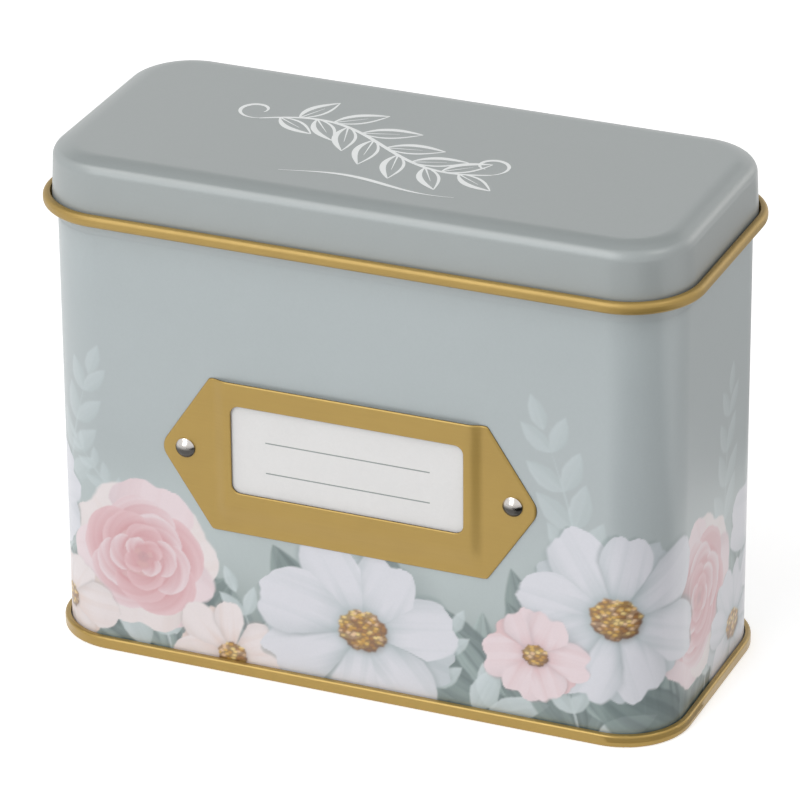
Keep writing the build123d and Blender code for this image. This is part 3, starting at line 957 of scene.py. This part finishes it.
class CARDTIN_OT_lid(bpy.types.Operator):
    """Make the lid's sheet with its crowned edge and open curl, and its line art"""

    bl_idname = "cardtin.lid"
    bl_label = "Lid"

    def execute(self, context):
        size, ink = sizes(), colours()
        track = WallTrack(size)
        line, curl_end = self.lid_line(size)
        section = sheet_section(line, size["sheet"])
        count, columns = len(line), len(section)
        notches = self.notch_edges(track, size)
        s = np.unique(np.concatenate([track.stations(0.45), notches.ravel()]))
        points = track.at(s[:, None], section[None, :, 1], section[None, :, 0])
        faces = grid_faces(len(s), columns, closed=True)
        row, column = faces[:, 0] // columns, faces[:, 0] % columns
        middle = (s[row] + s[(row + 1) % len(s)]) / 2
        notched = np.zeros(len(faces), dtype=bool)
        for low, high in notches:
            notched |= (middle > low) & (middle < high) & (row < len(s) - 1)
        height = section[faces % columns, 1].mean(axis=1)
        notched &= height < size["hinge_height"] + size["notch_rise"]
        faces = faces[~notched & (column != count - 1)]
        ring = np.arange(len(s)) * columns + count
        faces = [*faces, *self.raw_edges(s, notches, section, size), ring - 1, ring[::-1]]
        material = printed_sheet("lid_lacquer", ink, ink["lid"], roughness=0.33)
        piece = make_piece("lid_shell", points, faces, "lid", material)
        printed = np.zeros(columns)
        printed[curl_end:count] = 1.0
        add_values(piece, "printed", np.broadcast_to(printed, (len(s), columns)))
        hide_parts("lid")
        self.make_flourish(size, ink)
        return {"FINISHED"}

    @staticmethod
    def lid_line(size):
        """The middle of the sheet from the curl's tip to the top, and where in it the curl ends."""
        radius, top = size["curl_radius"], CAD_TOP - size["sheet"] / 2 - size["ink_room"]
        lean = math.atan2(size["lid_draft"], CAD_TOP - size["hinge_height"])
        outset = size["lid_gap"] + size["sheet"] / 2 + radius
        half = size["curl_stretch"] / 2
        upper = arc_line((outset, size["hinge_height"] + half), radius, 115, -115, 18)
        turn = math.degrees(lean) - 180
        lower = arc_line((outset, size["hinge_height"] - half), radius, 0, turn, 28)
        knee_height = top - size["knee_drop"]
        knee = lower[-1][0] - (knee_height - lower[-1][1]) * math.tan(lean)
        ramp, inner_edge = knee - size["ramp_run"], 1 - size["corner_radius"]
        crown = rounded_line(
            [lower[-1], (knee, knee_height), (ramp, top), (inner_edge, top)],
            [size["knee_radius"], size["ramp_radius"]], 14,
        )
        skirt = np.linspace(lower[-1], crown[1], 8)[1:-1]
        plate = np.linspace(crown[-2], crown[-1], 6)[1:]
        line = np.concatenate([upper, lower, skirt, crown[1:-1], plate])
        return line, len(upper) + len(lower) - 1

    @staticmethod
    def notch_edges(track, size):
        """Where the two hinge notches begin and end along the back."""
        half = size["notch_width"] / 2
        back = track.knots[4] + track.flat_x
        centres = back + np.array([-1, 1]) * size["tongue_spacing"] / 2
        return np.stack([centres - half, centres + half], axis=-1)

    @staticmethod
    def raw_edges(s, notches, section, size):
        """Quads that close the sheet where it is cut, between its points and their partners."""
        columns = len(section)
        low = section[: columns // 2, 1] < size["hinge_height"] + size["notch_rise"]
        run = np.arange(np.count_nonzero(low))
        partner = columns - 1 - run
        quads = []
        for start, end in notches:
            first, last = np.searchsorted(s, start), np.searchsorted(s, end)
            for row, order in ((first, 1), (last, -1)):
                sides = [run[:-1], run[1:], partner[1:], partner[:-1]]
                quads.append(row * columns + np.stack(sides[::order], axis=-1))
            base = np.arange(first, last) * columns
            outer, inner = base + run[-1], base + partner[-1]
            quads.append(np.stack([outer, outer + columns, inner + columns, inner], axis=-1))
        return np.concatenate(quads)

    @staticmethod
    def make_flourish(size, ink):
        """A sprig of line art in white ink on the top, in long and short strokes of a flat brush."""
        share = np.linspace(0, 1, 60)
        swell = np.sin(math.pi * share)
        wave = 7 * np.sin(math.pi * (1.7 * share + 0.1)) - 4 * share
        stem = np.stack([-31 + 58 * share, wave], axis=-1)
        strokes = [(stem, 0.3 + 0.5 * swell**0.5)]
        for step in range(13):
            place = 0.07 + 0.068 * step
            foot, ahead = [
                np.array([np.interp(along, share, stem[:, axis]) for axis in (0, 1)])
                for along in (place, place + 0.02)
            ]
            ahead, side = ahead - foot, 1 if step % 2 else -1
            turn = math.atan2(ahead[1], ahead[0]) + side * (0.95 - 0.25 * place)
            axis = np.array([math.cos(turn), math.sin(turn)])
            across = np.array([-axis[1], axis[0]])
            leaf = 13.5 - 5.5 * abs(place - 0.45)
            for half in (-1, 1):
                belly = half * 0.17 * leaf * np.sin(math.pi * share**0.85)
                line = foot + axis * (leaf * share)[:, None] + across * belly[:, None]
                strokes.append((line, 0.16 + (0.95 if half == side else 0.4) * swell**0.8))
            vein = foot + axis * (leaf * 0.62 * share)[:, None]
            strokes.append((vein, 0.3 * (1 - share) + 0.08))
        turn, radius = np.radians(320 * share), 4.6
        reach = radius * (1 - 0.6 * share)
        for end, before, hand in ((stem[0], stem[1], 1), (stem[-1], stem[-2], -1)):
            ahead = (end - before) / np.linalg.norm(end - before)
            aside = hand * np.array([ahead[1], -ahead[0]])
            line = end + aside * (radius - reach * np.cos(turn))[:, None]
            strokes.append((line + ahead * (reach * np.sin(turn))[:, None], 0.2 + 0.6 * swell))
        rise = -21 + 1.6 * np.sin(math.pi * (2 * share - 0.2))
        strokes.append((np.stack([-16 + 40 * share, rise], axis=-1), 0.12 + 0.8 * swell**2))
        points, faces = brush_strokes([(line, 1.25 * width) for line, width in strokes])
        clear, stacked = 0.004, 0.0006
        height = CAD_TOP - size["ink_room"] + clear
        height = height + stacked * np.repeat(np.arange(len(strokes)), 2 * len(share))
        points = np.stack([points[:, 0] - 4.0, points[:, 1] + 1.0, height], axis=-1)
        material = opaque_ink("white_ink", ink["art"])
        make_piece("lid_line_art", points, faces, "lid", material)


class CARDTIN_OT_base(bpy.types.Operator):
    """Finish the gold base and the hinge wire"""

    bl_idname = "cardtin.base"
    bl_label = "Base and hinge"

    def execute(self, context):
        ink = colours()
        set_material("base_plate", gold_lacquer("base_gold", ink))
        set_material("hinge_wire", drawn_wire("drawn_wire", ink["steel"]))
        return {"FINISHED"}


class CARDTIN_OT_holder(bpy.types.Operator):
    """Make the pressed label holder, and finish its rivets and its card"""

    bl_idname = "cardtin.holder"
    bl_label = "Label holder"

    def execute(self, context):
        size, ink = sizes(), colours()
        self.make_holder(size, gold_lacquer("holder_gold", ink, 0.35, 0.4))
        middle, reach = size["rivet_height"] * MM, size["rivet_radius"] * MM
        # The rivets' plating carries painted shade on the lower half of each dome.
        nickel = plated_dome_painted_shade("nickel", ink["nickel"], middle, reach)
        set_material("rivet_left", nickel)
        set_material("rivet_right", nickel)
        set_material("label_card", paper("label_paper", ink["paper"]))
        self.make_rules(size, ink)
        return {"FINISHED"}

    @staticmethod
    def make_rules(size, ink):
        """Two ruled lines to write on, printed on the label."""
        length, width, clear, count = 38, 0.28, 0.006, 24
        share = np.linspace(-0.5, 0.5, count)
        strokes = []
        for rise in (-4.6, 2.6):
            height = np.full(count, size["window_centre"] + rise)
            strokes.append((np.stack([length * share, height], axis=-1), np.full(count, width)))
        points, faces = brush_strokes(strokes)
        front = np.full(len(points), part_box("label_card")[0][1] / MM - clear)
        points = np.stack([points[:, 0], front, points[:, 1]], axis=-1)
        material = opaque_ink("grey_ink", ink["rule"])
        make_piece("label_rules", points, faces, "label", material)

    @staticmethod
    def make_holder(size, material):
        """The holder as a sheet between its outline and its window.

        Rows run from the outline to the window. The front stands off the wall by the plate, plus the
        pocket where two smooth steps, one from the sides and one from the foot, are both up. Both
        rims are quarter rounds, and the back is the front moved in by the plate.
        """
        bottom, top = size["holder_bottom"], size["holder_bottom"] + size["holder_height"]
        middle, straight, reach = (bottom + top) / 2, size["holder_straight"] / 2, size["holder_reach"]
        outer = [
            (-straight, top), (straight, top), (reach, middle),
            (straight, bottom), (-straight, bottom), (-reach, middle),
        ]
        half, centre = size["window_width"] / 2, size["window_centre"]
        low, high = centre - size["window_height"] / 2, centre + size["window_height"] / 2
        inner = [(-half, high), (half, high), (half, low), (-half, low)]
        outer_marks = [(0, top), *outer[1:4], (0, bottom), *outer[4:], outer[0]]
        inner_marks = [(0, high), (half, high), (half, centre), (half, low)]
        inner_marks += [(0, low), (-half, low), (-half, centre), (-half, high)]
        rim, lip, depth, steps = 0.6, 0.42, 0.32, 44
        outline = closed_outline(outer, [1.0, 1.0, 4.0, 1.0, 1.0, 4.0], outer_marks, steps)
        window = closed_outline(inner, [size["window_radius"]] * 4, inner_marks, steps)
        gap = np.linalg.norm(window - outline, axis=1)[:, None]
        turn = np.linspace(0, math.pi / 2, 6)
        from_rim = rim * (1 - np.cos(turn)) / gap
        from_lip = 1 - lip * (1 - np.cos(turn[::-1])) / gap
        across = np.linspace(0, 1, steps)[1:-1]
        between = from_rim[:, -1:] + (from_lip[:, :1] - from_rim[:, -1:]) * across
        share = np.concatenate([from_rim, between, from_lip], axis=1)
        flat = outline[:, None] + (window - outline)[:, None] * share[..., None]
        x, z = flat[..., 0], flat[..., 1]
        side, foot = size["raised_width"] / 2, bottom + size["bottom_flange"]
        raised = ease(side + 0.2, side - 3.2, np.abs(x)) * ease(foot - 2.2, foot + 3.6, z)
        height = size["holder_plate"] + size["pocket_depth"] * raised
        height_back = np.maximum(height - size["holder_plate"], 0.02)
        height = height - rounded_drop(share * gap, rim, depth)
        height = height - rounded_drop((1 - share) * gap, lip, depth * 0.8)
        wall = -size["body_depth"] / 2
        front = np.stack([x, wall - height, z], axis=-1)
        back = np.stack([x, wall - height_back, z], axis=-1)[:, ::-1]
        points = np.concatenate([front, back], axis=1)
        faces = grid_faces(*points.shape[:2], closed=True)
        piece = make_piece("label_frame", points, faces, "tin", material)
        # The side walls at the outline and at the window are marked near black: painted shade for the
        # gap behind the holder, on top of the cut edge's own darkness.
        cut_edge_shade = np.zeros(points.shape[:2])
        cut_edge_shade[:, [0, front.shape[1] - 1]], cut_edge_shade[:, [-1, front.shape[1]]] = 0.6, 1.0
        add_values(piece, "cut_edge_shade", cut_edge_shade)
        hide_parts("label_holder")


class CARDTIN_OT_cards(bpy.types.Operator):
    """Finish the cards and the tabbed dividers"""

    bl_idname = "cardtin.cards"
    bl_label = "Cards and dividers"

    def execute(self, context):
        ink = colours()
        card = paper("card_paper", ink["paper"] * 1.04)
        board = paper("divider_board", ink["board"], 0.8)
        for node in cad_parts:
            if node.startswith("card_group"):
                set_material(node, card)
            if node.startswith("divider"):
                set_material(node, board)
        return {"FINISHED"}


class CARDTIN_OT_stage(bpy.types.Operator):
    """Set the floor, the lamps and the camera"""

    bl_idname = "cardtin.stage"
    bl_label = "Stage"

    def execute(self, context):
        scene = context.scene
        scene.view_settings.view_transform = "Standard"
        self.make_world(scene)
        self.make_floor(scene)
        lamps = {
            "key": ((-0.3, -1.15, 0.8), (0.8, 0.95), 6.1, (0.95, 0.98, 1.0)),
            "top": ((-0.42, -0.48, 1.08), (0.9, 0.42), 3.1, (1.0, 1.0, 0.98)),
            "spot": ((0.64, -0.06, 0.88), (0.26, 0.26), 0.85, (1.0, 0.99, 0.96)),
            "rim": ((0.62, 1.0, 0.42), (0.6, 0.4), 1.0, (1.0, 0.98, 0.93)),
        }
        for name, settings in lamps.items():
            self.make_lamp(scene, name, *settings)
        flags = {
            "flag_back": ((-0.38, 0.5, 1.15), (1.9, 1.05), 0.01, 0.0),
            "flag_side": ((0.2, 0.19, 0.003), (0.24, 0.28), 0.7, 0.07),
            "flag_corner": ((0.262, -0.185, 0.003), (0.21, 0.42), 0.01, 0.0),
            "flag_lid": ((0.07, -0.33, 0.003), (0.18, 0.2), 0.3, 0.0),
            "flag_base": ((0.085, -0.05, 0.0012), (0.07, 0.06), 0.68, 0.08),
        }
        for name, settings in flags.items():
            self.make_flag(scene, name, *settings)
        self.make_camera(scene)
        return {"FINISHED"}

    @staticmethod
    def make_world(scene):
        """A white surround for the camera and for reflections, and a soft grey one as a light."""
        world = bpy.data.worlds.new("studio")
        world.use_nodes = True
        tree = world.node_tree
        tree.nodes.clear()
        seen = seen_by(tree, "Camera", "Glossy", "Transmission")
        strength = add_node(tree, "MapRange", {"Value": seen, "To Min": 0.42, "To Max": 1.0})
        sky = add_node(tree, "Background", {"Color": (1.0, 1.0, 1.0), "Strength": strength.outputs[0]})
        add_node(tree, "OutputWorld", {0: sky.outputs[0]})
        scene.world = world

    @staticmethod
    def make_floor(scene):
        """A white sweep, lit so that it clips to white and keeps a faint shadow."""
        material = bpy.data.materials.new("floor_paper")
        material.use_nodes = True
        tree = material.node_tree
        tree.nodes.clear()
        seen = seen_by(tree, "Camera", "Glossy")
        glow = add_node(tree, "Emission", {"Color": (0.55, 0.55, 0.55), "Strength": seen})
        matt = add_node(tree, "BsdfDiffuse", {"Color": (0.86, 0.86, 0.86)})
        both = add_node(tree, "AddShader", {0: glow.outputs[0], 1: matt.outputs[0]})
        add_node(tree, "OutputMaterial", {0: both.outputs[0]})
        reach, below_foot = 4.0, -0.00005
        floor = make_quad(scene, "floor", (0, 0, below_foot), Quaternion(), (reach, reach), material)

    @staticmethod
    def make_flag(scene, name, place, extent, shade, glow):
        """A card that only reflections see: flat if it lies on the floor, else turned to the tin."""
        turn = (AIM - Vector(place)).to_track_quat("Z", "Y")
        if place[2] < FLOOR_ZONE:
            turn = Quaternion((0, 0, 1), math.atan2(place[1], place[0]) + math.pi / 2)
        material, _, shader, _ = new_material(name)
        feed(shader, {
            "Base Color": (shade, shade, shade), "Roughness": 1.0,
            "Emission Color": (1.0, 1.0, 1.0), "Emission Strength": glow,
        })
        flag = make_quad(scene, name, place, turn, (extent[0] / 2, extent[1] / 2), material)
        flag.visible_camera = False
        flag.visible_diffuse = False
        flag.visible_shadow = False

    @staticmethod
    def make_lamp(scene, name, place, extent, power, tint):
        """A soft box that faces the tin."""
        light = bpy.data.lights.new(name, "AREA")
        light.color = tint
        light.shape = "RECTANGLE"
        light.size, light.size_y = extent
        light.energy = power
        lamp = bpy.data.objects.new(name, light)
        lamp.location = place
        lamp.rotation_mode = "QUATERNION"
        lamp.rotation_quaternion = (AIM - Vector(place)).to_track_quat("-Z", "Y")
        lamp.visible_camera = False
        scene.collection.objects.link(lamp)

    @staticmethod
    def make_camera(scene):
        """The camera of the photograph: its direction, distance, roll and long lens."""
        azimuth, elevation, roll = [math.radians(angle) for angle in (22.78, 25.754, -0.401)]
        distance, target = 1.21424, Vector((-0.00173, 0.00117, 0.05578))
        level = math.cos(elevation)
        back = (math.sin(azimuth) * level, -math.cos(azimuth) * level, math.sin(elevation))
        data = bpy.data.cameras.new("camera")
        data.lens, data.sensor_width = 250.6, 36.0
        camera = bpy.data.objects.new("camera", data)
        camera.location = target + Vector(back) * distance
        camera.rotation_mode = "QUATERNION"
        view = (-Vector(back)).to_track_quat("-Z", "Y")
        camera.rotation_quaternion = view @ Quaternion((0, 0, 1), roll)
        scene.collection.objects.link(camera)
        scene.camera = camera


class CARDTIN_PT_panel(bpy.types.Panel):
    """Lists the steps that dress the tin"""

    bl_label = "Card Tin"
    bl_idname = "CARDTIN_PT_panel"
    bl_space_type = "VIEW_3D"
    bl_region_type = "UI"
    bl_category = "Card Tin"

    def draw(self, context):
        for step in STEPS:
            self.layout.operator(step.bl_idname)


STEPS = [
    CARDTIN_OT_body,
    CARDTIN_OT_lid,
    CARDTIN_OT_base,
    CARDTIN_OT_holder,
    CARDTIN_OT_cards,
    CARDTIN_OT_stage,
]
CLASSES = [CardTinSizes, CardTinColours, *STEPS, CARDTIN_PT_panel]


def register():
    for item in CLASSES:
        bpy.utils.register_class(item)
    bpy.types.Scene.card_tin_sizes = PointerProperty(type=CardTinSizes)
    bpy.types.Scene.card_tin_colours = PointerProperty(type=CardTinColours)


def unregister():
    del bpy.types.Scene.card_tin_colours
    del bpy.types.Scene.card_tin_sizes
    for item in reversed(CLASSES):
        bpy.utils.unregister_class(item)


def main():
    register()
    for step in STEPS:
        area, name = step.bl_idname.split(".")
        getattr(getattr(bpy.ops, area), name)()


if __name__ == "__main__":
    main()
